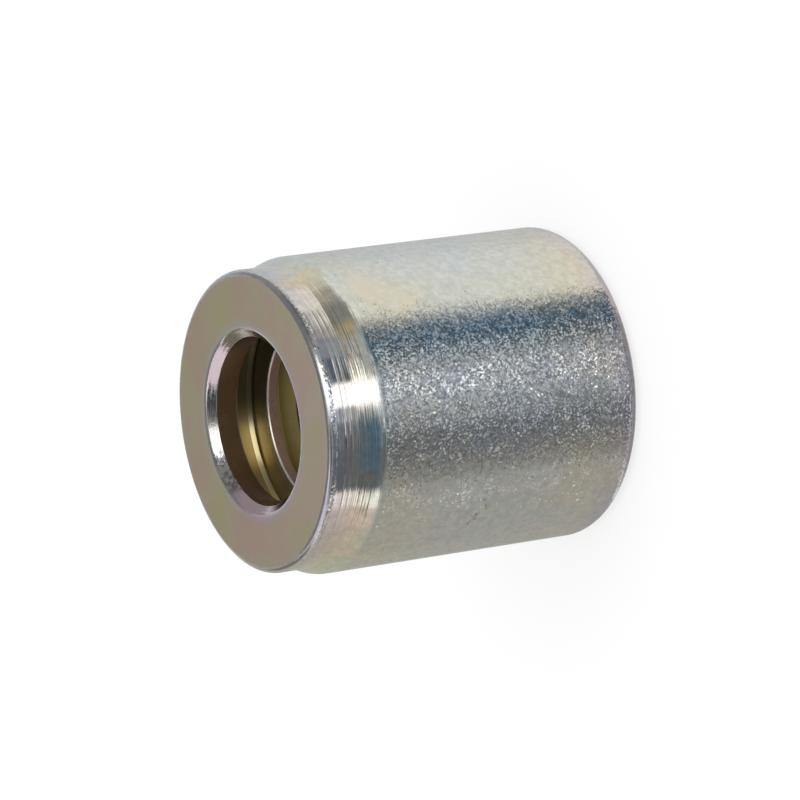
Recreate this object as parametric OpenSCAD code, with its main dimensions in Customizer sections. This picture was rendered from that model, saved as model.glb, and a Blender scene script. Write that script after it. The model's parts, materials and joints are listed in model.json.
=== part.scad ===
// Crimp ferrule for a half-inch wire-braid hydraulic hose.
// One piece of steel, turned all over inside and drawn to size outside.
// The sleeve stands on its open hose end, with its axis on Z and its nose up.
// Millimetres.

/* [Sleeve] */
// Length over all, from the hose-end rim to the nose face
overall_length = 31.5; // [26:0.5:50]
// Wall of the sleeve, from the hose bore to the outside
sleeve_wall = 3.0; // [2.2:0.1:5]
// Radius round the outside of the hose-end rim
rear_edge_r = 1.4; // [0.4:0.1:1.6]
// Narrowest flat that stays on the hose-end rim
rear_rim_flat = 0.6; // [0.4:0.1:1.2]

/* [Nose] */
// Step from the sleeve's outside down to the nose, on the radius
nose_step = 0.7; // [0.3:0.05:1.2]
// Length of the straight nose
nose_length = 2.9; // [1.5:0.1:4]
// Radius round the edge of the nose face
nose_edge_r = 0.6; // [0.1:0.05:1]
// Slope of the turned shoulder, from the axis
shoulder_angle = 22; // [10:1:35]
// Radius that blends the shoulder into the sleeve
shoulder_blend_r = 2.5; // [0.5:0.5:8]

/* [Nose bore] */
// Bore that slides over the neck of the hose insert
nose_bore_d = 14.8; // [11:0.1:17]
// Thickness of the nose wall
nose_wall = 2.8; // [1.8:0.1:4]
// Width of the bore's chamfer, on the radius
nose_chamfer_w = 0.85; // [0.3:0.05:1.2]
// Depth of the bore's chamfer, along the axis
nose_chamfer_h = 0.7; // [0.3:0.05:1.2]
// Radius that blends the chamfer into the nose face
nose_chamfer_r = 0.6; // [0.2:0.1:1.5]

/* [Locking groove] */
// Width of the groove that closes round the insert's collar
lock_groove_w = 3.3; // [2:0.1:5]
// Wall left outside the groove
lock_groove_wall = 3.2; // [2.6:0.1:4]
// Radius in the groove's corner under the nose wall
lock_groove_corner_r = 0.2; // [0.1:0.05:0.6]
// Width of the bevel at the groove's foot, on the radius
lock_bevel_w = 0.23; // [0.05:0.01:0.6]
// Height of that bevel, along the axis
lock_bevel_h = 0.42; // [0.05:0.01:0.8]

/* [Inner lip] */
// How far the lip's crest stands back from the nose bore, on the radius
inner_lip_relief = 0.35; // [0.1:0.05:0.8]
// Width of the lip's crest
inner_lip_crest = 1.1; // [0.6:0.1:2]
// Radius round both edges of the lip's crest
inner_lip_edge_r = 0.2; // [0.05:0.05:0.4]
// Slope of the lip's hose side, from square to the axis
inner_lip_flank = 30; // [0:1:45]

/* [Hose bore] */
// Bore that takes the hose
hose_bore_d = 22; // [20:0.1:28]
// Width of the lead-in chamfer, on the radius
hose_lead_w = 0.8; // [0.3:0.1:1.2]
// Depth of the lead-in chamfer, along the axis
hose_lead_h = 1.4; // [0.5:0.1:2.5]

/* [Grip grooves] */
// Distance from one grip groove to the next
grip_pitch = 3.6; // [3:0.1:5]
// Width of a groove at the bore
grip_mouth = 2.4; // [1.6:0.1:2.8]
// Width of a groove at its floor
grip_floor = 1.2; // [0.4:0.1:1.4]
// Depth of a groove
grip_depth = 0.8; // [0.3:0.05:1.2]
// Plain bore between the inner lip and the first groove
grip_start = 1.8; // [0.5:0.1:4]
// Least plain bore between the last groove and the lead-in
grip_end = 2.0; // [0.5:0.1:5]

/* [Hidden] */
$fn = 128;
// Run-out of a cut past the face that it opens through
cut_over = 1;

sleeve_r = hose_bore_d / 2 + sleeve_wall;
rear_r = min(rear_edge_r, sleeve_wall - hose_lead_w - rear_rim_flat);

nose_r = sleeve_r - nose_step;
nose_foot_z = overall_length - nose_length;
// The blend takes no more than nine tenths of the step, so some of the cone always stays
blend_share = 1 - cos(shoulder_angle);
blend_r = min(shoulder_blend_r, 0.9 * nose_step / blend_share);
blend_rise = blend_r * blend_share;
// Where the blend leaves the sleeve's cylinder, worked down from the foot of the nose
cone_length = (nose_step - blend_rise) / tan(shoulder_angle);
blend_top_z = nose_foot_z - cone_length;
blend_foot_z = blend_top_z - blend_r * sin(shoulder_angle);

nose_bore_r = nose_bore_d / 2;
nose_chamfer_angle = atan(nose_chamfer_h / nose_chamfer_w);
nose_chamfer_length = norm([nose_chamfer_w, nose_chamfer_h]);
// The blend leaves a fifth of the chamfer straight
chamfer_blend_reach = min(nose_chamfer_r * tan(nose_chamfer_angle / 2), 0.8 * nose_chamfer_length);
chamfer_blend_r = chamfer_blend_reach / tan(nose_chamfer_angle / 2);
lock_top_z = overall_length - nose_wall;
lock_foot_z = lock_top_z - lock_groove_w;
lock_r = sleeve_r - lock_groove_wall;

inner_lip_r = nose_bore_r + inner_lip_relief;
inner_lip_foot_z = lock_foot_z - inner_lip_crest;
// Each round takes no more than four tenths of the crest
lip_edge_r = min(inner_lip_edge_r, 0.4 * inner_lip_crest);

hose_bore_r = hose_bore_d / 2;
hose_stop_z = inner_lip_foot_z - (hose_bore_r - inner_lip_r) * tan(inner_lip_flank);
grip_top_z = hose_stop_z - grip_start;
grip_room = grip_top_z - hose_lead_h - grip_end;
grip_count = floor((grip_room - grip_mouth) / grip_pitch) + 1;

// Sections are drawn with the radius along X and the axis along Y

// Straight wall of the sleeve, with the round of its hose-end edge
module sleeve_section() {
    translate([0, rear_r]) square([sleeve_r, blend_foot_z - rear_r]);
    square([sleeve_r - rear_r, blend_foot_z]);
    translate([sleeve_r - rear_r, rear_r]) circle(r = rear_r);
}

// Turned shoulder: a cone from the nose that runs out on a radius
module shoulder_section() {
    blend_centre = [sleeve_r - blend_r, blend_foot_z];
    blend_top = [sleeve_r - blend_rise, blend_top_z];
    polygon([
        [0, blend_foot_z],
        [sleeve_r, blend_foot_z],
        blend_top,
        [nose_r, nose_foot_z],
        [0, nose_foot_z],
    ]);
    intersection() {
        translate(blend_centre) circle(r = blend_r, $fn = 4 * $fn);
        polygon([
            blend_centre,
            blend_centre + [2 * blend_r, 0],
            blend_centre + 2 * (blend_top - blend_centre),
        ]);
    }
}

// Straight nose with a round edge at its face
module nose_section() {
    translate([0, nose_foot_z]) square([nose_r, nose_length - nose_edge_r]);
    translate([0, nose_foot_z]) square([nose_r - nose_edge_r, nose_length]);
    translate([nose_r - nose_edge_r, overall_length - nose_edge_r]) circle(r = nose_edge_r);
}

// Bore through the nose wall, with its chamfer
module nose_bore_section() {
    chamfer_foot_z = overall_length - nose_chamfer_h;
    chamfer_slope = nose_chamfer_w / nose_chamfer_h;
    polygon([
        [0, lock_foot_z],
        [nose_bore_r, lock_foot_z],
        [nose_bore_r, chamfer_foot_z],
        [nose_bore_r + nose_chamfer_w + cut_over * chamfer_slope, overall_length + cut_over],
        [0, overall_length + cut_over],
    ]);
    edge_round_section(
        [nose_bore_r + nose_chamfer_w, overall_length],
        [1, 0],
        [-cos(nose_chamfer_angle), -sin(nose_chamfer_angle)],
        chamfer_blend_r
    );
}

// What a round takes off an edge; the two runs lead away from the edge along the faces that meet there
module edge_round_section(edge, run_a, run_b, r) {
    half_angle = acos(run_a * run_b) / 2;
    reach = r / tan(half_angle);
    inward = (run_a + run_b) / norm(run_a + run_b);
    on_a = edge + reach * run_a;
    on_b = edge + reach * run_b;
    difference() {
        polygon([on_a, on_b, on_b - cut_over * inward, on_a - cut_over * inward]);
        translate(edge + r / sin(half_angle) * inward) circle(r = r, $fn = 4 * $fn);
    }
}

// Groove behind the nose wall, with a radius in its upper corner and a bevel at its foot
module lock_groove_section() {
    corner_r = lock_groove_corner_r;
    polygon([
        [0, lock_foot_z],
        [lock_r - lock_bevel_w, lock_foot_z],
        [lock_r, lock_foot_z + lock_bevel_h],
        [lock_r, lock_top_z - corner_r],
        [lock_r - corner_r, lock_top_z],
        [0, lock_top_z],
    ]);
    translate([lock_r - corner_r, lock_top_z - corner_r]) circle(r = corner_r);
}

// Opening inside the inner lip, down its sloping flank to the hose bore and the lead-in
module hose_bore_section() {
    lead_slope = hose_lead_w / hose_lead_h;
    polygon([
        [0, lock_top_z],
        [inner_lip_r, lock_top_z],
        [inner_lip_r, inner_lip_foot_z],
        [hose_bore_r, hose_stop_z],
        [hose_bore_r, hose_lead_h],
        [hose_bore_r + hose_lead_w + cut_over * lead_slope, -cut_over],
        [0, -cut_over],
    ]);
    edge_round_section([inner_lip_r, lock_foot_z], [1, 0], [0, -1], lip_edge_r);
    flank_run = [cos(inner_lip_flank), -sin(inner_lip_flank)];
    edge_round_section([inner_lip_r, inner_lip_foot_z], [0, 1], flank_run, lip_edge_r);
}

// Ring grooves that the hose cover is pressed into
module grip_groove_sections() {
    slope = (grip_mouth - grip_floor) / 2;
    for (i = [0 : 1 : grip_count - 1])
        translate([0, grip_top_z - grip_mouth - i * grip_pitch])
            polygon([
                [0, 0],
                [hose_bore_r, 0],
                [hose_bore_r + grip_depth, slope],
                [hose_bore_r + grip_depth, grip_mouth - slope],
                [hose_bore_r, grip_mouth],
                [0, grip_mouth],
            ]);
}

module ferrule() {
    color([0.74, 0.72, 0.64])
    rotate_extrude()
    difference() {
        union() {
            sleeve_section();
            shoulder_section();
            nose_section();
        }
        nose_bore_section();
        lock_groove_section();
        hose_bore_section();
        grip_groove_sections();
    }
}

ferrule();
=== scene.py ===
import json
import math
import random

import bpy
from mathutils import Matrix, Vector


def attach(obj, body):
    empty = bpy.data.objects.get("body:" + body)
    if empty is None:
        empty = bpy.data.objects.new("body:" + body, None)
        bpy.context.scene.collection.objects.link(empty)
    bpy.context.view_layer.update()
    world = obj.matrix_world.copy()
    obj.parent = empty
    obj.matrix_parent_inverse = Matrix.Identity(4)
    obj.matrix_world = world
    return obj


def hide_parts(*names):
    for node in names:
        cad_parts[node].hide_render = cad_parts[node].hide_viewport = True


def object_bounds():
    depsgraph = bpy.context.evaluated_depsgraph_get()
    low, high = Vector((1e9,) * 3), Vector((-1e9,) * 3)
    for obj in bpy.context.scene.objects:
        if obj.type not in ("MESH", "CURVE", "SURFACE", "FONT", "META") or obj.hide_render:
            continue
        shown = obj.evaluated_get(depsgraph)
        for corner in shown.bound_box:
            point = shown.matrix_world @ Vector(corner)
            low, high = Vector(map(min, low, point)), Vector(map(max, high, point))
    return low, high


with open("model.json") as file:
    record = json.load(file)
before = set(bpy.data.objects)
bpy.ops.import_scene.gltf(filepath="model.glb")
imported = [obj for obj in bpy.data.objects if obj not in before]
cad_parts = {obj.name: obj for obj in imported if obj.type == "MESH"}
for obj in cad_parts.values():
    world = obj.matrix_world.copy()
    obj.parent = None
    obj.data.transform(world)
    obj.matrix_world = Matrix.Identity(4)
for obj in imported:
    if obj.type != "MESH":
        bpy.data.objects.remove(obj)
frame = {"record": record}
cadBox = [list(corner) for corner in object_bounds()]
scene = bpy.context.scene
scene.view_settings.view_transform = 'Standard'
mm = 0.001
print("frame loaded, box", cadBox)

# sizes of the turned sleeve in mm, with the axis on Z and the hose end at zero
boreR = {m["name"]: m["dims"]["r_mm"] for m in frame["record"]["mounts"] if m["kind"] == "bore"}
sleeve = {
    "length": round(cadBox[1][2] / mm, 3),
    "outerR": round(cadBox[1][0] / mm, 3),
    "rimRound": 0.10,
    "rearRound": 1.4,
    "noseStep": 0.7,            # from the sleeve down to the nose, on the radius
    "noseLength": 2.9,
    "noseFootRound": 0.15,
    "noseEdge": 0.6,
    "shoulderAngle": 22.0,      # degrees from the axis
    "shoulderRound": 2.5,
    "noseBoreR": boreR["nose_bore"],
    "noseBoreRound": 0.10,
    "noseWall": 2.8,
    "chamferW": 0.85,
    "chamferH": 0.7,
    "chamferRound": 0.6,
    "chamferFootRound": 0.12,
    "lockW": 3.3,               # locking groove behind the nose wall
    "lockWall": 3.2,
    "lockRound": 0.2,
    "bevelW": 0.23,             # bevel between the groove's floor and the inner lip
    "bevelH": 0.42,
    "bevelTopRound": 0.12,
    "bevelFootRound": 0.06,
    "lipR": boreR["inner_lip"],
    "lipCrest": 1.1,
    "lipEdge": 0.2,
    "lipFlank": 30.0,           # slope of the lip's hose side, degrees from square to the axis
    "hoseR": boreR["hose_bore"],
    "hoseStopRound": 0.20,
    "leadW": 0.8,
    "leadH": 1.4,
    "leadRound": 0.10,
    "gripStart": 1.8,           # plain bore above the first grip groove
    "gripPitch": 3.6,
    "gripMouth": 2.4,
    "gripFloor": 1.2,
    "gripDepth": 0.8,
    "gripRound": 0.08,
    "gripCount": 5,
    "around": 352,              # faces round the axis
    "endGap": 0.05,             # rings of points this close to the ends of a run keep its shading flat
    "markGap": 0.05,            # close rings on the nose and shoulder hold the tool marks
    "ringGap": {"outside": 1.2, "face": 0.4, "land": 0.6, "groove": 0.9, "lip": 0.4, "rim": 4.0},
}

# marks of the lathe tool on the nose and shoulder, in mm
toolMarks = {
    "seed": 11,
    "fineCount": 20,
    "fineDepth": (0.001, 0.004),
    "fineWidth": (0.06, 0.14),
    "fromZ": 26.9,
    "toZ": 30.8,
    "lines": [                  # place, depth and half width of the plain lines
        (29.90, 0.010, 0.14),
        (29.36, 0.006, 0.12),
        (28.42, 0.010, 0.10),
        (28.06, 0.012, 0.10),
        (27.84, 0.010, 0.08),
        (27.52, 0.010, 0.10),
        (27.22, 0.006, 0.10),
    ],
}

zones = ["outside", "face", "land", "groove", "lip", "hose", "rim"]     # each has a finish of its own


def sectionPlaces(d):
    # radii and heights of the section's corners, worked out from the sizes
    noseFootZ = d["length"] - d["noseLength"]
    lockTopZ = d["length"] - d["noseWall"]
    lockFootZ = lockTopZ - d["lockW"]
    lipFootZ = lockFootZ - d["lipCrest"]
    hoseStopZ = lipFootZ - (d["hoseR"] - d["lipR"]) * math.tan(math.radians(d["lipFlank"]))
    places = {
        "noseR": d["outerR"] - d["noseStep"],
        "noseFootZ": noseFootZ,
        # where the shoulder's cone would meet the straight sleeve
        "shoulderKneeZ": noseFootZ - d["noseStep"] / math.tan(math.radians(d["shoulderAngle"])),
        "chamferR": d["noseBoreR"] + d["chamferW"],
        "chamferZ": d["length"] - d["chamferH"],
        "lockTopZ": lockTopZ,
        "lockFootZ": lockFootZ,
        "lockR": d["outerR"] - d["lockWall"],
        "lipFootZ": lipFootZ,
        "hoseStopZ": hoseStopZ,
        "leadR": d["hoseR"] + d["leadW"],
        "gripTop": hoseStopZ - d["gripStart"],
    }
    return d | {name: round(place, 3) for name, place in places.items()}


def roundedCorner(before, corner, after, radius, steps):
    # arc that takes the place of one corner of the section
    p = Vector(corner)
    a = (Vector(before) - p).normalized()
    b = (Vector(after) - p).normalized()
    half = a.angle(b) / 2
    reach = radius / math.tan(half)
    centre = p + (a + b).normalized() * (radius / math.sin(half))
    u = p + a * reach - centre
    v = p + b * reach - centre
    turn = math.pi - 2 * half
    points = []
    for i in range(steps + 1):
        t = turn * i / steps
        points.append(centre + (u * math.sin(turn - t) + v * math.sin(t)) / math.sin(turn))
    return points


def sectionCorners(s):
    # each corner: radius, height, rounding, steps in it, zone of the rounding and of the run after it
    corners = [
        (s["leadR"], 0.0, s["rimRound"], 3, "rim", "rim"),
        (s["outerR"], 0.0, s["rearRound"], 14, "outside", "outside"),
        (s["outerR"], s["shoulderKneeZ"], s["shoulderRound"], 14, "outside", "outside"),
        (s["noseR"], s["noseFootZ"], s["noseFootRound"], 3, "outside", "outside"),
        (s["noseR"], s["length"], s["noseEdge"], 12, "outside", "face"),
        (s["chamferR"], s["length"], s["chamferRound"], 8, "face", "face"),
        (s["noseBoreR"], s["chamferZ"], s["chamferFootRound"], 4, "face", "land"),
        (s["noseBoreR"], s["lockTopZ"], s["noseBoreRound"], 3, "land", "groove"),
        (s["lockR"], s["lockTopZ"], s["lockRound"], 6, "groove", "groove"),
        (s["lockR"], s["lockFootZ"] + s["bevelH"], s["bevelTopRound"], 4, "groove", "groove"),
        (s["lockR"] - s["bevelW"], s["lockFootZ"], s["bevelFootRound"], 3, "groove", "groove"),
        (s["lipR"], s["lockFootZ"], s["lipEdge"], 6, "lip", "lip"),
        (s["lipR"], s["lipFootZ"], s["lipEdge"], 5, "hose", "hose"),
        (s["hoseR"], s["hoseStopZ"], s["hoseStopRound"], 3, "hose", "hose"),
    ]
    slope = (s["gripMouth"] - s["gripFloor"]) / 2
    for i in range(s["gripCount"]):
        top = s["gripTop"] - i * s["gripPitch"]
        for r, z in ((0, 0), (1, slope), (1, slope + s["gripFloor"]), (0, s["gripMouth"])):
            corners.append((s["hoseR"] + r * s["gripDepth"], top - z, s["gripRound"], 1, "hose", "hose"))
    corners.append((s["hoseR"], s["leadH"], s["leadRound"], 2, "hose", "hose"))
    return corners


def runSteps(s, zone, middle, length):
    marked = zone == "outside" and middle.y > s["shoulderKneeZ"]
    longest = s["markGap"] if marked else s["ringGap"][zone]
    return max(1, math.ceil(length / longest))


def sectionPath(s):
    # points round the section, each with the zone of the stretch after it
    corners = sectionCorners(s)
    arcs = []
    for i, (r, z, radius, steps, _, _) in enumerate(corners):
        before = corners[i - 1]
        after = corners[(i + 1) % len(corners)]
        arcs.append(roundedCorner(before[:2], (r, z), after[:2], radius, steps))
    path = []
    for i, arc in enumerate(arcs):
        arcZone, zone = corners[i][4:]
        path += [(point, arcZone) for point in arc[:-1]]
        path.append((arc[-1], zone))
        if zone == "hose":
            continue            # the hose bore needs no points between its corners
        start = arc[-1]
        run = arcs[(i + 1) % len(arcs)][0] - start
        guard = min(s["endGap"], run.length / 4)
        inner = run.length - 2 * guard
        count = runSteps(s, zone, start + run / 2, inner)
        for k in range(count + 1):
            path.append((start + run * ((guard + inner * k / count) / run.length), zone))
    return path


def toolMarkDepth(z, marks):
    depth = 0.0
    for place, deep, width in marks:
        t = abs(z - place) / width
        if t < 1:
            depth += deep * (0.5 + 0.5 * math.cos(math.pi * t))
    return depth


def makeMarks(t):
    dice = random.Random(t["seed"])
    marks = list(t["lines"])
    for _ in range(t["fineCount"]):
        place = dice.uniform(t["fromZ"], t["toZ"])
        marks.append((place, dice.uniform(*t["fineDepth"]), dice.uniform(*t["fineWidth"])))
    return marks


def addMesh(name, verts, faces):
    mesh = bpy.data.meshes.new(name)
    mesh.from_pydata(verts, [], faces)
    piece = bpy.data.objects.new(name, mesh)
    scene.collection.objects.link(piece)
    return piece


def makeFerrule(s, t):
    path = sectionPath(s)
    marks = makeMarks(t)
    around = s["around"]
    verts = []
    for (r, z), zone in path:
        if zone == "outside":
            r -= toolMarkDepth(z, marks)
        for k in range(around):
            a = 2 * math.pi * k / around
            verts.append((r * math.cos(a) * mm, r * math.sin(a) * mm, z * mm))
    faces = []
    zoneOfFace = []
    for i, (_, zone) in enumerate(path):
        j = (i + 1) % len(path)
        for k in range(around):
            m = (k + 1) % around
            faces.append((i * around + k, i * around + m, j * around + m, j * around + k))
            zoneOfFace.append(zones.index(zone))
    piece = addMesh("ferruleSkin", verts, faces)
    piece.data.polygons.foreach_set("material_index", zoneOfFace)
    piece.data.polygons.foreach_set("use_smooth", [True] * len(faces))
    piece.data.update()
    print("ferrule skin:", len(path), "rings,", 2 * len(faces), "triangles")
    return piece


section = sectionPlaces(sleeve)
ferruleSkin = makeFerrule(section, toolMarks)


# small helpers for the finishes
def wire(tree, socket, value):
    # a number or colour is set on the socket, anything else is linked to it
    if isinstance(value, (int, float)):
        socket.default_value = value
    elif isinstance(value, tuple):
        socket.default_value = (*value, 1.0) if len(socket.default_value) == 4 else value
    else:
        tree.links.new(value, socket)


def ramp(tree, factor, stops):
    node = tree.nodes.new("ShaderNodeValToRGB")
    band = node.color_ramp
    while len(band.elements) < len(stops):
        band.elements.new(0.5)
    while len(band.elements) > len(stops):
        band.elements.remove(band.elements[-1])
    for element, (place, colour) in zip(band.elements, stops):
        element.position = place
        element.color = (*colour, 1.0)
    tree.links.new(factor, node.inputs[0])
    return node.outputs[0]


def maths(tree, operation, a, b=None, clamp=False):
    node = tree.nodes.new("ShaderNodeMath")
    node.operation = operation
    node.use_clamp = clamp
    wire(tree, node.inputs[0], a)
    if b is not None:
        wire(tree, node.inputs[1], b)
    return node.outputs[0]


def vectorMaths(tree, operation, a, b=None):
    node = tree.nodes.new("ShaderNodeVectorMath")
    node.operation = operation
    wire(tree, node.inputs[0], a)
    if b is not None:
        wire(tree, node.inputs[3 if operation == 'SCALE' else 1], b)
    return node.outputs["Value" if operation in ('DOT_PRODUCT', 'DISTANCE') else "Vector"]


def fade(tree, value, start, end, low=0.0, high=1.0):
    # smooth change from low at start to high at end
    node = tree.nodes.new("ShaderNodeMapRange")
    node.interpolation_type = 'SMOOTHSTEP'
    for i, number in enumerate((start, end, low, high), 1):
        node.inputs[i].default_value = number
    tree.links.new(value, node.inputs[0])
    return node.outputs[0]


def fadeMm(tree, value, span, low=0.0, high=1.0):
    # the same over a span in mm
    return fade(tree, value, span[0] * mm, span[1] * mm, low, high)


def bandFade(tree, value, band, peak=1.0):
    # comes between the first two places of the band and goes between the last two, in mm
    return maths(tree, 'MULTIPLY', fadeMm(tree, value, band[:2]), fadeMm(tree, value, band[2:], peak, 0.0))


def noise(tree, vector, scale, detail=2.0, rough=0.5):
    node = tree.nodes.new("ShaderNodeTexNoise")
    node.inputs["Scale"].default_value = scale
    node.inputs["Detail"].default_value = detail
    node.inputs["Roughness"].default_value = rough
    tree.links.new(vector, node.inputs["Vector"])
    return node.outputs["Fac"]


def latheLines(tree, place, lines=(160.0, 160.0, 9000.0), detail=3.0, rough=0.6):
    # noise with so many lines in a metre along each axis, drawn out round the sleeve
    node = tree.nodes.new("ShaderNodeMapping")
    node.inputs["Scale"].default_value = lines
    tree.links.new(place, node.inputs["Vector"])
    return noise(tree, node.outputs["Vector"], 1.0, detail, rough)


def blendColour(tree, mode, factor, a, b):
    node = tree.nodes.new("ShaderNodeMix")
    node.data_type = 'RGBA'
    node.blend_type = mode
    wire(tree, node.inputs[0], factor)
    wire(tree, node.inputs[6], a)
    wire(tree, node.inputs[7], b)
    return node.outputs[2]


def mottled(tree, place, colour, mottle, factor=1.0):
    # the colour times tints that follow a noise, and the noise itself
    cloud = noise(tree, place, *mottle["noise"])
    return blendColour(tree, 'MULTIPLY', factor, colour, ramp(tree, cloud, mottle["tints"])), cloud


def bump(tree, height, distance):
    node = tree.nodes.new("ShaderNodeBump")
    node.inputs["Strength"].default_value = 1.0
    node.inputs["Distance"].default_value = distance
    tree.links.new(height, node.inputs["Height"])
    return node.outputs["Normal"]


def newZinc(name):
    material = bpy.data.materials.new(name + "Zinc")
    material.use_nodes = True
    tree = material.node_tree
    shader = tree.nodes["Principled BSDF"]
    shader.inputs["Metallic"].default_value = 1.0
    place = tree.nodes.new("ShaderNodeTexCoord").outputs["Object"]
    axes = tree.nodes.new("ShaderNodeSeparateXYZ")
    tree.links.new(place, axes.inputs[0])
    return material, tree, shader, place, axes


def radiusOf(tree, axes):
    x, y = axes.outputs["X"], axes.outputs["Y"]
    squares = maths(tree, 'ADD', maths(tree, 'MULTIPLY', x, x), maths(tree, 'MULTIPLY', y, y))
    return maths(tree, 'SQRT', squares)


def segmentDistance(tree, place, a, b):
    # distance in mm from the surface point to the line between a and b
    start = Vector(a) * mm
    span = (Vector(b) - Vector(a)) * mm
    offset = vectorMaths(tree, 'SUBTRACT', place, tuple(start))
    along = vectorMaths(tree, 'DOT_PRODUCT', offset, tuple(span / span.length_squared))
    foot = vectorMaths(tree, 'SCALE', tuple(span), maths(tree, 'ADD', along, 0.0, True))
    return maths(tree, 'MULTIPLY', vectorMaths(tree, 'DISTANCE', offset, foot), 1 / mm)


# outside of the sleeve: grained zinc with a faint rainbow of passivate, turned bright at the nose
outsideZinc = {
    "tints": [                  # height as a share of the length, colour
        (0.000, (0.70, 0.69, 0.71)),
        (0.045, (0.75, 0.71, 0.73)),
        (0.080, (0.80, 0.74, 0.71)),
        (0.120, (0.80, 0.77, 0.71)),
        (0.220, (0.78, 0.77, 0.73)),
        (0.400, (0.76, 0.77, 0.76)),
        (0.600, (0.76, 0.77, 0.76)),
        (0.720, (0.78, 0.77, 0.72)),
        (0.780, (0.80, 0.76, 0.69)),
        (0.830, (0.77, 0.77, 0.72)),
        (0.865, (0.77, 0.77, 0.69)),
        (0.905, (0.82, 0.76, 0.67)),
        (0.940, (0.79, 0.74, 0.68)),
        (0.957, (0.76, 0.69, 0.69)),
        (0.975, (0.73, 0.70, 0.72)),
        (1.000, (0.68, 0.69, 0.71)),
    ],
    "cloud": (260.0, 3.0, 0.55),        # noise that the tint bands stray by: scale, detail, roughness
    "wander": 1.2,              # how far they stray, mm
    "mottles": [                # noise and the tints that follow it, from broad to fine
        {"noise": (110.0, 2.0, 0.5),
         "tints": [(0.30, (0.97, 1.00, 1.03)), (0.50, (1.0, 1.0, 1.0)), (0.70, (1.0, 0.98, 0.93))]},
        {"noise": (420.0, 2.0, 0.5),
         "tints": [(0.34, (0.98, 1.00, 1.022)), (0.50, (1.0, 1.0, 1.0)), (0.66, (1.012, 0.998, 0.972))]},
        {"noise": (1500.0, 2.0, 0.6),
         "tints": [(0.28, (0.88, 0.88, 0.88)), (0.72, (1.08, 1.08, 1.08))]},
    ],
    "grainTop": (26.05, 26.55), # heights between which the grain ends, mm
    "grainStray": 0.3,          # share of the bands' stray in that end
    "grainScale": 6800.0,       # grains in a metre
    "grainSoft": 0.2,           # how far the grains melt into each other
    "grainTilt": 0.105,         # most a grain leans, as a slope
    "grainSpread": (0.42, 0.42, 1.0),   # they lean less round the sleeve than along it
    "rareFrom": 0.950,          # grains above this chance lean much further and catch light from far off
    "rareLean": 2.6,
    "clumps": (700.0, 2.0, 0.5),        # noise that gathers flat and steep grains
    "clumpFade": (0.32, 0.68),
    "clumpLean": (0.68, 1.45),  # shares of the tilt where they are flat and steep
    "edgeTilt": 0.24,           # most a grain leans on the ragged nose edge
    "edgeBand": (30.70, 30.90, 31.10, 31.30),   # heights where that comes and goes, mm
    "fineDepth": 0.004,         # mm
    "ringDepth": 0.016,         # mm
    "wideRings": ((340.0, 340.0, 3600.0), 2.0, 0.5),    # lines in a metre on each axis, detail, roughness
    "noseRings": 0.27,          # share of the ring depth on the nose
    "ringFade": (28.4, 28.8),   # heights between which the rings go shallow, mm
    "noseLay": 0.123,           # slope by which the nose's turning marks lean toward its face
    "layBand": (28.50, 28.65, 30.75, 30.95),    # heights where that comes and goes, mm
    "grainRoughness": 0.19,
    "turnedRoughness": 0.09,
    "noseRoughness": 0.085,
    "noseFade": (28.5, 28.7),   # heights between which the nose's roughness comes, mm
    "edgeRoughness": 0.22,
    "edgeFade": (30.7, 30.95),  # the same for its edge
    "stains": [                 # azimuth, height, radius of the surface, size in mm, colour
        (-58.5, 27.6, 13.72, 0.90, (0.97, 0.84, 0.54)),
        (-44.0, 24.0, 14.0, 2.6, (0.83, 0.76, 0.67)),
        (-52.0, 21.5, 14.0, 1.8, (0.83, 0.77, 0.68)),
    ],
    "stainEdge": (0.7, 1.6),    # where a stain starts to fade and is gone, as shares of its size
    "stainStrength": 0.85,
    "scratches": [              # strength, then azimuth and height of the points of each scratch
        (0.9, [(-117.2, 15.82), (-118.9, 15.44), (-121.3, 15.55)]),
        (0.7, [(-128.6, 15.87), (-129.4, 15.30)]),
        (0.8, [(-131.5, 15.57), (-134.6, 15.13), (-136.6, 15.08), (-137.9, 14.65)]),
        (1.0, [(-137.9, 15.38), (-139.2, 15.68), (-141.0, 16.03), (-144.2, 16.24)]),
        (0.8, [(-139.8, 16.25), (-142.0, 15.53)]),
        (2.6, [(-56.9, 2.2), (-58.7, 2.15), (-59.8, 1.75), (-61.4, 1.2)]),      # nick at the hose end
        (0.3, [(-49.6, 19.6), (-54.8, 20.2)]),
    ],
    "scratchWidth": 0.10,       # mm
    "scratchEdge": (0.6, 1.9),  # where a scratch starts to fade and is gone, as shares of its width
    "scratchDepth": 0.004,      # mm
    "scratchTint": (0.50, 0.48, 0.45),
    "scratchRoughness": 0.25,
    "scratchBend": 0.7,         # how far a scratch strays from its points, mm
    "bendScale": 2200.0,        # scale of the noise that it strays by
    "breaks": (1300.0, 2.0, 0.6),       # noise that breaks the scratches
    "breakFade": (0.43, 0.53),
    "breakLeast": 0.3,          # share of a scratch that stays in a break
}


def onSleeve(azimuth, height, radius):
    a = math.radians(azimuth)
    return (radius * math.cos(a), radius * math.sin(a), height)


def outsideTint(tree, place, along, o):
    colour = ramp(tree, along, o["tints"])
    for mottle in o["mottles"]:
        colour, specks = mottled(tree, place, colour, mottle)
    near, far = o["stainEdge"]
    for azimuth, z, radius, size, tint in o["stains"]:
        spot = tuple(v * mm for v in onSleeve(azimuth, z, radius))
        away = maths(tree, 'MULTIPLY', vectorMaths(tree, 'DISTANCE', place, spot), 1 / mm)
        frayed = maths(tree, 'ADD', away, maths(tree, 'MULTIPLY', specks, size))
        stain = fade(tree, frayed, near * size, far * size, o["stainStrength"], 0.0)
        colour = blendColour(tree, 'MIX', stain, colour, tint)
    return colour, specks       # the finest noise frays the scratches too


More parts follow.
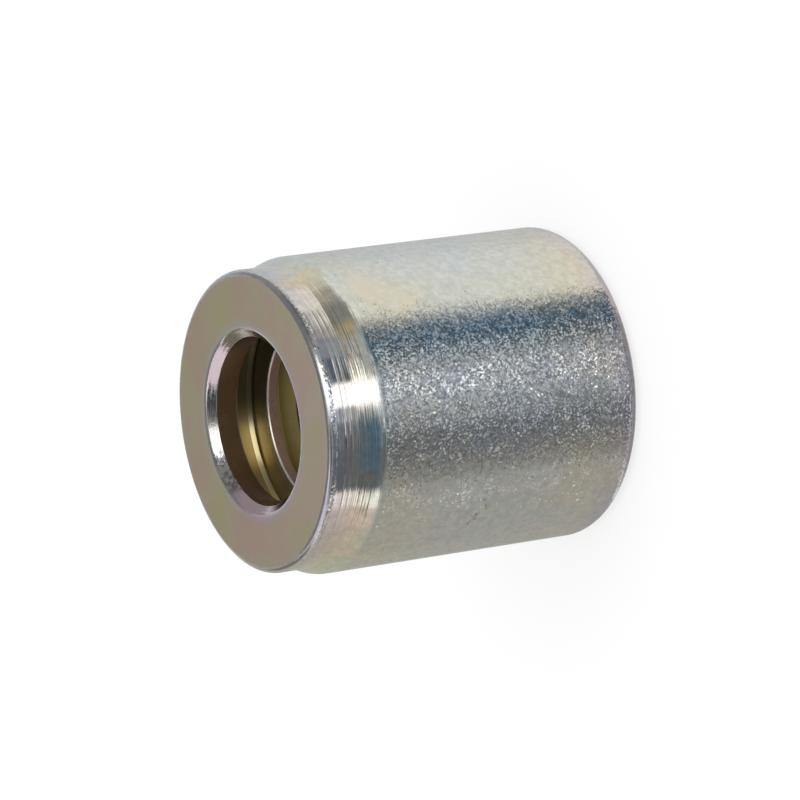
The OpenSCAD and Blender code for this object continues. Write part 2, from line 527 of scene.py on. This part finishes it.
def scratchCut(tree, place, specks, o):
    # how deep the scratches go at each point, bent and broken by noise
    ragged = tree.nodes.new("ShaderNodeTexNoise")
    ragged.inputs["Scale"].default_value = o["bendScale"]
    tree.links.new(place, ragged.inputs["Vector"])
    bent = vectorMaths(tree, 'SUBTRACT', ragged.outputs["Color"], (0.5, 0.5, 0.5))
    bent = vectorMaths(tree, 'ADD', place, vectorMaths(tree, 'SCALE', bent, o["scratchBend"] * mm))
    wobble = maths(tree, 'MULTIPLY', specks, o["scratchWidth"])
    near, far = (share * o["scratchWidth"] for share in o["scratchEdge"])
    cut = 0.0
    for strength, line in o["scratches"]:
        points = [onSleeve(azimuth, z, section["outerR"]) for azimuth, z in line]
        for a, b in zip(points, points[1:]):
            away = maths(tree, 'ADD', segmentDistance(tree, bent, a, b), wobble)
            cut = maths(tree, 'MAXIMUM', cut, fade(tree, away, near, far, strength, 0.0))
    broken = fade(tree, noise(tree, place, *o["breaks"]), *o["breakFade"], o["breakLeast"], 1.0)
    return maths(tree, 'MULTIPLY', cut, broken)


def outsideRelief(tree, place, height, grained, o):
    # fine roughness between the grains, and turned rings that break along their length
    turned = maths(tree, 'SUBTRACT', 1.0, grained)
    fine = maths(tree, 'MULTIPLY', noise(tree, place, o["grainScale"]), o["fineDepth"])
    fine = maths(tree, 'MULTIPLY', fine, grained)
    wide = latheLines(tree, place, *o["wideRings"])
    rings = maths(tree, 'MULTIPLY', maths(tree, 'ADD', latheLines(tree, place), wide), o["ringDepth"])
    rings = maths(tree, 'MULTIPLY', rings, fadeMm(tree, height, o["ringFade"], 1.0, o["noseRings"]))
    return maths(tree, 'ADD', fine, maths(tree, 'MULTIPLY', rings, turned))


def outsideRoughness(tree, height, grained, cut, o):
    rough = fade(tree, grained, 0.0, 1.0, o["turnedRoughness"], o["grainRoughness"])
    rough = maths(tree, 'MAXIMUM', rough, fadeMm(tree, height, o["noseFade"], 0.0, o["noseRoughness"]))
    rough = maths(tree, 'MAXIMUM', rough, fadeMm(tree, height, o["edgeFade"], 0.0, o["edgeRoughness"]))
    return maths(tree, 'ADD', rough, maths(tree, 'MULTIPLY', cut, o["scratchRoughness"]))


def grains(tree, place, lean, normal, o):
    # small flat grains, each leaning by chance up to the slope given
    cells = tree.nodes.new("ShaderNodeTexVoronoi")
    cells.feature = 'SMOOTH_F1'
    cells.inputs["Smoothness"].default_value = o["grainSoft"]
    cells.inputs["Scale"].default_value = o["grainScale"]
    tree.links.new(place, cells.inputs["Vector"])
    chance = vectorMaths(tree, 'SUBTRACT', cells.outputs["Color"], (0.5, 0.5, 0.5))
    chance = vectorMaths(tree, 'MULTIPLY', chance, o["grainSpread"])
    parts = tree.nodes.new("ShaderNodeSeparateXYZ")
    tree.links.new(cells.outputs["Color"], parts.inputs[0])
    rare = maths(tree, 'GREATER_THAN', parts.outputs["X"], o["rareFrom"])
    # the chance goes a half each way, so twice the chance takes a common grain up to that slope
    reach = maths(tree, 'ADD', maths(tree, 'MULTIPLY', rare, o["rareLean"]), 2.0)
    tilt = vectorMaths(tree, 'SCALE', chance, maths(tree, 'MULTIPLY', lean, reach))
    return vectorMaths(tree, 'NORMALIZE', vectorMaths(tree, 'ADD', normal, tilt))


def outsideNormal(tree, place, height, grained, relief, o):
    # the nose's turning marks lean along the axis, toward the face
    axis = tree.nodes.new("ShaderNodeVectorTransform")
    axis.vector_type = 'NORMAL'
    axis.convert_from, axis.convert_to = 'OBJECT', 'WORLD'
    axis.inputs[0].default_value = (0.0, 0.0, 1.0)
    lay = vectorMaths(tree, 'SCALE', axis.outputs[0], bandFade(tree, height, o["layBand"], o["noseLay"]))
    normal = vectorMaths(tree, 'ADD', bump(tree, relief, mm), lay)
    # each grain of the finish leans its own way, most of all on the nose edge
    flat, steep = (share * o["grainTilt"] for share in o["clumpLean"])
    clumps = fade(tree, noise(tree, place, *o["clumps"]), *o["clumpFade"], flat, steep)
    edge = bandFade(tree, height, o["edgeBand"], o["edgeTilt"])
    lean = maths(tree, 'ADD', maths(tree, 'MULTIPLY', grained, clumps), edge)
    return grains(tree, place, lean, normal, o)


def makeOutside(o):
    material, tree, shader, place, axes = newZinc("outside")
    height = axes.outputs["Z"]
    stray = maths(tree, 'SUBTRACT', noise(tree, place, *o["cloud"]), 0.5)
    stray = maths(tree, 'MULTIPLY', stray, 2 * o["wander"] * mm)
    along = maths(tree, 'MULTIPLY', maths(tree, 'ADD', height, stray), 1 / (section["length"] * mm), True)
    colour, specks = outsideTint(tree, place, along, o)
    grained = maths(tree, 'ADD', height, maths(tree, 'MULTIPLY', stray, o["grainStray"]))
    grained = fadeMm(tree, grained, o["grainTop"], 1.0, 0.0)
    cut = scratchCut(tree, place, specks, o)
    colour = blendColour(tree, 'MULTIPLY', cut, colour, o["scratchTint"])
    relief = outsideRelief(tree, place, height, grained, o)
    relief = maths(tree, 'SUBTRACT', relief, maths(tree, 'MULTIPLY', cut, o["scratchDepth"]))
    tree.links.new(colour, shader.inputs["Base Color"])
    tree.links.new(outsideRoughness(tree, height, grained, cut, o), shader.inputs["Roughness"])
    tree.links.new(outsideNormal(tree, place, height, grained, relief, o), shader.inputs["Normal"])
    return material


# nose face and the chamfer into the bore, told apart by their distance from the axis
faceZinc = {
    "tints": [                  # share of the nose radius, colour
        (0.560, (0.80, 0.74, 0.78)),
        (0.618, (0.80, 0.75, 0.79)),
        (0.640, (0.70, 0.70, 0.71)),
        (0.680, (0.73, 0.667, 0.525)),
        (0.940, (0.73, 0.667, 0.535)),
        (1.000, (0.68, 0.68, 0.66)),
    ],
    "depth": [(0.0, (1.07, 1.06, 1.12)), (0.5, (1.0, 1.0, 1.01)), (1.0, (0.94, 0.97, 0.92))],
    "sides": [(0.0, (1.01, 0.965, 0.965)), (0.5, (1.02, 1.0, 1.0)), (1.0, (0.99, 1.005, 0.92))],
    "tintReach": 13.0,          # depth runs along Y and sides along X, this far each way from the axis, mm
    "mottle": {
        "noise": (210.0, 3.0, 0.55),
        "tints": [(0.36, (0.95, 1.01, 0.86)), (0.50, (1.0, 1.0, 1.0)), (0.64, (1.03, 0.92, 1.01))]},
    "chamferEnd": (8.00, 8.50), # radii where the chamfer's polish gives way to the face, mm
    "chamferRoughness": 0.09,
    "paintedStreaks": {                 # painted reflection: dark and bright streaks on one side of the chamfer
        "noise": (1500.0, 3.0, 0.6),
        "tints": [(0.42, (0.46, 0.48, 0.51)), (0.54, (1.18, 1.18, 1.15))]},
    "paintedStreakBand": (-6.6, -5.0, -2.6, -1.4),     # places on X where that comes and goes, mm
    "faceRoughness": 0.32,
    "ringDepth": 0.020,         # mm
    "grain": (3000.0, 2.0, 0.55),       # noise: scale, detail, roughness
    "grainDepth": 0.009,        # mm
}


def makeFace(f):
    material, tree, shader, place, axes = newZinc("face")
    radius = radiusOf(tree, axes)
    share = maths(tree, 'MULTIPLY', radius, 1 / (section["noseR"] * mm), True)
    colour, _ = mottled(tree, place, ramp(tree, share, f["tints"]), f["mottle"])
    for axis, tints in (("X", f["sides"]), ("Y", f["depth"])):
        across = fadeMm(tree, axes.outputs[axis], (-f["tintReach"], f["tintReach"]))
        colour = blendColour(tree, 'MULTIPLY', 1.0, colour, ramp(tree, across, tints))
    plain = fadeMm(tree, radius, f["chamferEnd"])
    chamfer = maths(tree, 'SUBTRACT', 1.0, plain)
    # painted reflection streaks on one side of the chamfer
    paintedStreaks = maths(tree, 'MULTIPLY', bandFade(tree, axes.outputs["X"], f["paintedStreakBand"]), chamfer)
    colour, _ = mottled(tree, place, colour, f["paintedStreaks"], paintedStreaks)
    tree.links.new(colour, shader.inputs["Base Color"])
    rough = fade(tree, plain, 0.0, 1.0, f["chamferRoughness"], f["faceRoughness"])
    tree.links.new(rough, shader.inputs["Roughness"])
    rings = maths(tree, 'MULTIPLY', latheLines(tree, place), f["ringDepth"])
    rings = maths(tree, 'MULTIPLY', rings, chamfer)
    grain = maths(tree, 'MULTIPLY', noise(tree, place, *f["grain"]), f["grainDepth"])
    tree.links.new(bump(tree, maths(tree, 'ADD', rings, grain), mm), shader.inputs["Normal"])
    return material


# inside of the bore: darker golden passivate, turned all over, with painted shade in the groove and a
# painted highlight on the lip
boreZinc = {
    "mottle": {
        "noise": (260.0, 3.0, 0.55),
        "tints": [(0.30, (0.86, 0.90, 0.94)), (0.50, (1.0, 1.0, 1.0)), (0.70, (1.0, 0.95, 0.88))]},
    "rub": (900.0, 3.0, 0.6),   # noise in the roughness
    "zones": {                  # tints by distance from the axis, and depth of the rings, in mm
        "land": {"tints": [(8.0, (0.60, 0.46, 0.40))], "roughness": 0.30, "rings": 0.006, "metal": 1.0},
        "groove": {
            # the groove runs from bright gold at its floor to dark olive at its inner edges: darker
            # passivate, and painted shade toward the edges
            "tints": [
                (8.0, (0.30, 0.26, 0.15)), (8.7, (0.36, 0.29, 0.14)), (9.5, (0.46, 0.35, 0.17)),
                (10.5, (0.52, 0.42, 0.21)), (10.75, (0.74, 0.64, 0.34))],
            "roughness": 0.22, "rings": 0.006, "metal": 0.68,
            "sideShade": (0.40, 0.40, 0.42), "sideX": (-0.5, 2.5),       # painted shade: one side of the groove is darker
            "bevelShade": (0.52, 0.52, 0.54), "bevelX": (-1.0, 1.5),     # and so is the bevel at its foot, painted shade too
            "bevelZ": (25.82, 25.86), "bevelR": (10.50, 10.58)},
        "lip": {
            # painted highlight: the lip's rounded front edge is tinted nearly white
            "tints": [
                (7.745, (0.78, 0.54, 0.46)), (7.78, (0.95, 0.90, 0.86)), (7.93, (0.95, 0.90, 0.86)),
                (8.0, (0.78, 0.54, 0.46))],
            "roughness": 0.30, "rings": 0.006, "metal": 0.75},
        "hose": {"tints": [(8.0, (0.52, 0.42, 0.18))], "roughness": 0.30, "rings": 0.006, "metal": 1.0},
        "rim": {"tints": [(8.0, (0.72, 0.67, 0.64))], "roughness": 0.28, "rings": 0.003, "metal": 1.0},
    },
}


# painted shade: darkens one side of the groove and the bevel at its foot
def paintedSideShade(tree, axes, radius, colour, b):
    side = fadeMm(tree, axes.outputs["X"], b["sideX"])
    colour = blendColour(tree, 'MULTIPLY', side, colour, b["sideShade"])
    bevel = fadeMm(tree, axes.outputs["Z"], b["bevelZ"], 1.0, 0.0)
    bevel = maths(tree, 'MULTIPLY', bevel, fadeMm(tree, axes.outputs["X"], b["bevelX"]))
    bevel = maths(tree, 'MULTIPLY', bevel, fadeMm(tree, radius, b["bevelR"]))
    return blendColour(tree, 'MULTIPLY', bevel, colour, b["bevelShade"])


def makeBore(name, b):
    material, tree, shader, place, axes = newZinc(name)
    shader.inputs["Metallic"].default_value = b["metal"]
    radius = radiusOf(tree, axes)
    share = maths(tree, 'MULTIPLY', radius, 1 / (section["noseR"] * mm), True)
    tint = ramp(tree, share, [(r / section["noseR"], colour) for r, colour in b["tints"]])
    colour, _ = mottled(tree, place, tint, boreZinc["mottle"])
    # painted shade on one side of the groove and its bevel
    if "sideShade" in b:
        colour = paintedSideShade(tree, axes, radius, colour, b)
    tree.links.new(colour, shader.inputs["Base Color"])
    rub = noise(tree, place, *boreZinc["rub"])
    # the noise is about a half, so this is about the roughness given
    rough = maths(tree, 'MULTIPLY', maths(tree, 'ADD', rub, 1.5), b["roughness"] / 2)
    tree.links.new(rough, shader.inputs["Roughness"])
    tree.links.new(bump(tree, latheLines(tree, place), b["rings"] * mm), shader.inputs["Normal"])
    return material


finishes = {"outside": makeOutside(outsideZinc), "face": makeFace(faceZinc)}
for zone, values in boreZinc["zones"].items():
    finishes[zone] = makeBore(zone, values)
for zone in zones:
    ferruleSkin.data.materials.append(finishes[zone])
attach(ferruleSkin, "root")
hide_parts("ferrule")
print("finishes made:", ", ".join(zones))

# studio: a round tent of soft panels with dark flags between them, seen by the metal only
studio = {
    "tentRadius": 1.0,          # m
    "tentStep": 0.01,           # each panel stands this share of the radius further out than the one before
    "bandRadius": 1.6,          # m
    "panelStep": 4,             # degrees across each face of a panel, about
    "panels": [                 # name, colour, rows of height and azimuth from and to, in degrees
        ("noseSlate", (0.26, 0.295, 0.34), [(-19.6, -52, -36), (-14.8, -52, -36)]),
        ("noseDusk", (0.48, 0.45, 0.41), [(-20.5, -36, -25), (-15.5, -36, -25)]),
        ("noseSide", (0.09, 0.125, 0.165), [(-19.2, -71, -52), (-12.5, -71, -52)]),
        ("noseKey", (1.6, 1.6, 1.6), [(-19, -87, -71), (-14, -87, -71)]),
        ("noseLow", (0.225, 0.24, 0.255), [(-19, -102, -88), (-14, -102, -88)]),
        ("noseFlag", (0.13, 0.145, 0.152), [(-20, -151, -102), (-14.2, -151, -102)]),
        ("noseFront", (0.72, 0.67, 0.65), [(-21, -166, -151), (-16, -166, -151)]),
        ("noseWarm", (0.56, 0.51, 0.48), [(-22.5, -185, -166), (-17, -185, -166)]),
        ("noseTable", (0.49, 0.455, 0.41), [(-24.5, -217, -185), (-18.5, -217, -185)]),
        ("noseEnd", (0.50, 0.475, 0.42), [(-28.5, -258, -217), (-22.5, -258, -217)]),
        ("midSide", (0.38, 0.38, 0.36), [(-17, -27, -14), (-9, -29, -9)]),
        ("sideFlag", (0.25, 0.255, 0.245), [(-9, -30, -10), (16, -30, -10)]),
        ("duskSide", (0.40, 0.385, 0.35), [(-9, -10, 3), (16, -10, 3)]),
        ("creamSide", (0.62, 0.59, 0.51), [(-9, 3, 16), (16, 3, 16)]),
        ("tanCard", (0.42, 0.38, 0.30), [(-2, -41, -30), (16, -41, -28)]),
        ("combFlag", (0.45, 0.46, 0.475), [(-10, -71, -41), (2, -70, -41), (10, -66, -41), (16, -62, -41)]),
        ("tanFoot", (0.30, 0.315, 0.33), [(-18, -73, -28), (-2, -71, -28)]),
        ("paleSide", (0.72, 0.68, 0.57), [(-25, 14, 30), (8, 14, 30)]),
        ("limeSide", (0.64, 0.665, 0.655), [(-25, 30, 45), (8, 30, 45)]),
        ("mintSide", (0.555, 0.61, 0.635), [(-25, 45, 80), (8, 45, 80)]),
        ("keyStrip", (1.9, 1.9, 1.9), [
            (-18.5, -88, -74), (2, -89, -72), (12, -88.5, -75), (16, -88.5, -72),
            (25, -88, -54), (35, -88, -48), (60, -92, -36)]),
        ("keyWing", (0.62, 0.67, 0.72), [(-20, -99, -88.5), (8, -97, -88.5)]),
        ("wingTop", (0.36, 0.375, 0.40), [(8, -98, -88.5), (20, -97, -88.5)]),
        ("keyTop", (1.6, 1.6, 1.6), [(60, -92, -23), (78, -92, -23)]),
        ("lowSide", (0.22, 0.265, 0.32), [(-20, -118, -88), (0, -118, -88)]),
        ("lowDusk", (0.14, 0.165, 0.195), [(-20, -148, -118), (0, -148, -118)]),
        ("lowFlag", (0.074, 0.135, 0.205), [(0, -134, -88), (20, -134, -88)]),
        ("lowEnd", (0.12, 0.13, 0.14), [(0, -150, -134), (20, -150, -134)]),
        ("lowTop", (0.15, 0.16, 0.165), [(20, -170, -88), (33, -158, -89)]),
        ("lowRise", (0.30, 0.305, 0.30), [(33, -168, -89), (53, -168, -90)]),
        ("lowDark", (0.065, 0.075, 0.082), [(53, -168, -107), (76, -174, -107)]),
        ("lowPale", (0.32, 0.325, 0.32), [(53, -107, -90), (76, -107, -91)]),
        ("frontStrip", (1.12, 1.05, 0.97), [(-20, -162, -150), (12, -162, -150)]),
        ("frontWarm", (0.66, 0.565, 0.51), [(-20, -178, -162), (12, -178, -162)]),
        ("frontCard", (0.13, 0.125, 0.12), [(12, -184, -146), (22, -184, -146)]),
        ("warmTable", (0.52, 0.48, 0.41), [(-22, -208, -178), (12, -208, -178)]),
        ("oliveTable", (0.465, 0.49, 0.415), [(-22, -257, -208), (12, -257, -208)]),
        ("midCard", (0.19, 0.168, 0.135), [(12, 112, 160), (33, 112, 160)]),
        ("lilacCard", (0.80, 0.70, 0.78), [(31, 146, 192), (62, 140, 192)]),
        ("nearCard", (0.30, 0.28, 0.27), [(8, 15, 62), (41, 15, 62)]),
        ("backCard", (0.445, 0.425, 0.395), [(8, 62, 118), (37, 62, 118)]),
        ("upperFlag", (0.20, 0.205, 0.21), [(37, 25, 142), (78, 25, 142)]),
        ("mottledFlag", (0.20, 0.20, 0.195), [(37, -24, 25), (78, -24, 25)]),
        ("cornerFlag", (0.13, 0.14, 0.15), [(8, -70, 20), (60, -70, 20)]),
        ("topFlag", (0.40, 0.39, 0.38), [(76, -180, 180), (90, -180, 180)]),
        ("footGlint", (1.1, 1.1, 1.1), [(-50, -150, -30), (-46, -150, -30)]),
        ("footDark", (0.13, 0.135, 0.135), [(-62, -150, -26), (-46, -150, -26)]),
        ("footGrey", (0.36, 0.36, 0.37), [(-72, -150, -26), (-62, -150, -26)]),
        ("footPale", (0.60, 0.54, 0.56), [(-70, -26, 104), (-46, -26, 104)]),
        ("tableGlint", (1.0, 1.0, 0.97), [(-50, 104, 205), (-46, 104, 205)]),
        ("footTable", (0.35, 0.33, 0.325), [(-70, 104, 210), (-46, 104, 210)]),
        ("footCard", (0.30, 0.29, 0.30), [(-90, -180, 180), (-70, -180, 180)]),
    ],
    "bandRows": [-46, -38.5, -25.6, -15],       # heights of the edges of the three rows, in degrees
    "bandGrey": [0.0, 0.0, 0.4],    # how far the colour of each row goes to grey
    "bands": [                  # azimuth from and to, colour, shares of it in the rows from the lowest up
        (-258, -156, (0.397, 0.391, 0.36), (1.0, 1.0, 1.0)),
        (-156, -148, (0.335, 0.33, 0.308), (1.0, 1.0, 1.0)),
        (-148, -138, (0.27, 0.265, 0.25), (1.5, 0.9, 0.9)),
        (-138, -127, (0.212, 0.219, 0.229), (1.7, 0.87, 0.6)),
        (-127, -118, (0.195, 0.207, 0.225), (1.4, 0.90, 0.6)),
        (-118, -109, (0.215, 0.23, 0.254), (3.8, 0.58, 0.25)),
        (-109, -100, (0.285, 0.31, 0.35), (0.1, 0.60, 3.3)),
        (-100, -90, (0.43, 0.473, 0.528), (0.2, 0.88, 1.6)),
        (-90, -71, (0.485, 0.53, 0.605), (0.1, 0.86, 1.6)),
        (-71, -62, (0.395, 0.44, 0.495), (0.1, 0.85, 1.75)),
        (-62, -53, (0.275, 0.345, 0.41), (0.05, 0.48, 3.4)),
        (-53, -36, (0.095, 0.185, 0.29), (0.1, 0.50, 2.8)),
        (-36, -30, (0.215, 0.26, 0.30), (0.3, 0.66, 2.2)),
        (-30, -24, (0.54, 0.54, 0.51), (0.5, 0.90, 1.6)),
        (-24, -15, (0.90, 0.885, 0.775), (1.0, 1.0, 1.0)),
        (-15, 12, (0.815, 0.81, 0.725), (1.0, 1.0, 1.0)),
        (12, 36, (0.775, 0.788, 0.772), (1.0, 1.0, 1.0)),
        (36, 58, (0.65, 0.668, 0.66), (1.0, 1.0, 1.0)),
        (58, 103, (0.58, 0.60, 0.60), (1.0, 1.0, 1.0)),
    ],
    "floorHalf": 6.0,           # m
    "floorColour": (0.95, 0.95, 0.95),
    "floorGlow": 0.75,          # share of the floor that stays white in the shadow
    "boreShade": (0.27, 0.27, 0.26),    # the shaded floor that closes the hose end
    "shadeDrop": 0.1,           # how far it lies under the rim, mm
    "shadeSides": 36,
    "lampSize": 1.2,            # m
    "lampPower": 6.0,           # W
    "lampPlace": (0.5, -0.4, 1.4),
}


def panelDirection(azimuth, height):
    a, h = math.radians(azimuth), math.radians(height)
    return Vector((math.cos(a) * math.cos(h), math.sin(a) * math.cos(h), math.sin(h)))


def glowing(name, colour):
    material = bpy.data.materials.new(name)
    material.use_nodes = True
    material.node_tree.nodes.clear()
    glow = material.node_tree.nodes.new("ShaderNodeEmission")
    glow.inputs["Color"].default_value = (*colour, 1.0)
    out = material.node_tree.nodes.new("ShaderNodeOutputMaterial")
    material.node_tree.links.new(glow.outputs[0], out.inputs["Surface"])
    return material


def metalOnly(card):
    # the card is there for the metal, not for the camera or the floor
    card.visible_camera = False
    card.visible_diffuse = False
    card.visible_shadow = False


def makePanel(st, name, colour, rows, radius):
    across = max(2, round((rows[0][2] - rows[0][1]) / st["panelStep"]))
    levels = [rows[0]]
    for low, high in zip(rows, rows[1:]):
        steps = max(1, round((high[0] - low[0]) / st["panelStep"]))
        for k in range(1, steps + 1):
            levels.append([a + (b - a) * k / steps for a, b in zip(low, high)])
    verts = []
    for height, start, end in levels:
        for i in range(across + 1):
            verts.append(panelDirection(start + (end - start) * i / across, height) * radius)
    faces = []
    for j in range(len(levels) - 1):
        for i in range(across):
            k = j * (across + 1) + i
            faces.append((k, k + 1, k + across + 2, k + across + 1))
    panel = addMesh(name, verts, faces)
    panel.data.materials.append(glowing(name, colour))
    metalOnly(panel)


def makeBands(st):
    # upright bands of the tent, each in three rows that give the grain its light and dark dots
    levels = st["bandRows"]
    for i, (start, end, colour, shares) in enumerate(st["bands"]):
        grey = sum(colour) / 3
        for k, share in enumerate(shares):
            rows = [(levels[k], start, end), (levels[k + 1], start, end)]
            tint = [c + (grey - c) * st["bandGrey"][k] for c in colour]
            makePanel(st, "band%d%s" % (i, "abc"[k]), tuple(c * share for c in tint), rows, st["bandRadius"])


def makeFloor(st):
    w = st["floorHalf"]
    floor = addMesh("floor", [(-w, -w, 0), (w, -w, 0), (w, w, 0), (-w, w, 0)], [(0, 1, 2, 3)])
    paper = bpy.data.materials.new("palePaper")
    paper.use_nodes = True
    tree = paper.node_tree
    sheet = tree.nodes["Principled BSDF"]
    sheet.inputs["Base Color"].default_value = (*st["floorColour"], 1.0)
    sheet.inputs["Roughness"].default_value = 1.0
    sheet.inputs["Specular IOR Level"].default_value = 0.0
    rays = tree.nodes.new("ShaderNodeLightPath")
    seen = maths(tree, 'MAXIMUM', rays.outputs["Is Camera Ray"], rays.outputs["Is Glossy Ray"])
    seen = maths(tree, 'MAXIMUM', seen, rays.outputs["Is Transmission Ray"])
    glow = tree.nodes.new("ShaderNodeEmission")
    mix = tree.nodes.new("ShaderNodeMixShader")
    tree.links.new(maths(tree, 'MULTIPLY', seen, st["floorGlow"]), mix.inputs[0])
    tree.links.new(sheet.outputs[0], mix.inputs[1])
    tree.links.new(glow.outputs[0], mix.inputs[2])
    tree.links.new(mix.outputs[0], tree.nodes["Material Output"].inputs["Surface"])
    floor.data.materials.append(paper)
    floor.visible_glossy = False        # the tent goes on below the floor for the metal


def makeBoreShade(st):
    sides = st["shadeSides"]
    ring = [panelDirection(360 / sides * k, 0) * section["leadR"] * mm for k in range(sides)]
    shade = addMesh("boreShade", [(p.x, p.y, -st["shadeDrop"] * mm) for p in ring], [list(range(sides))])
    shade.data.materials.append(glowing("boreShade", st["boreShade"]))
    metalOnly(shade)


def makeLamp(st):
    lamp = bpy.data.lights.new("topSoftbox", 'AREA')
    lamp.shape = 'DISK'
    lamp.size = st["lampSize"]
    lamp.energy = st["lampPower"]
    top = bpy.data.objects.new("topSoftbox", lamp)
    top.location = st["lampPlace"]
    top.rotation_euler = (-top.location).to_track_quat('-Z', 'Y').to_euler()    # it faces the part
    top.visible_glossy = False
    scene.collection.objects.link(top)


def makeWorld():
    world = bpy.data.worlds.new("softWhite")
    scene.world = world
    world.use_nodes = True
    back = world.node_tree.nodes["Background"]
    back.inputs["Color"].default_value = (1.0, 1.0, 1.0, 1.0)
    back.inputs["Strength"].default_value = 1.0


def makeStudio(st):
    for i, (name, colour, rows) in enumerate(st["panels"]):
        makePanel(st, name, colour, rows, st["tentRadius"] * (1 + st["tentStep"] * i))
    makeBands(st)
    makeWorld()
    makeFloor(st)
    makeBoreShade(st)
    makeLamp(st)


makeStudio(studio)
print("studio set")

# camera: the photograph's own viewing angle, turned on its roll because the sleeve stands here
view = {
    "lens": 216.98,             # mm
    "sensor": 36.0,             # mm
    "clipStart": 0.01,          # m
    "place": (0.0, -0.365862, 0.236012),
    "right": (-0.13786, -0.50981, -0.84913),
    "up": (0.99042, -0.07126, -0.11802),
}
lensData = bpy.data.cameras.new("photoView")
lensData.lens = view["lens"]
lensData.sensor_width = view["sensor"]
lensData.clip_start = view["clipStart"]
camera = bpy.data.objects.new("photoView", lensData)
right, up = Vector(view["right"]).normalized(), Vector(view["up"])
up = (up - right * up.dot(right)).normalized()
away = right.cross(up)
camera.matrix_world = Matrix((
    (right.x, up.x, away.x, view["place"][0]),
    (right.y, up.y, away.y, view["place"][1]),
    (right.z, up.z, away.z, view["place"][2]),
    (0, 0, 0, 1)))
scene.collection.objects.link(camera)
scene.camera = camera
print("camera set")
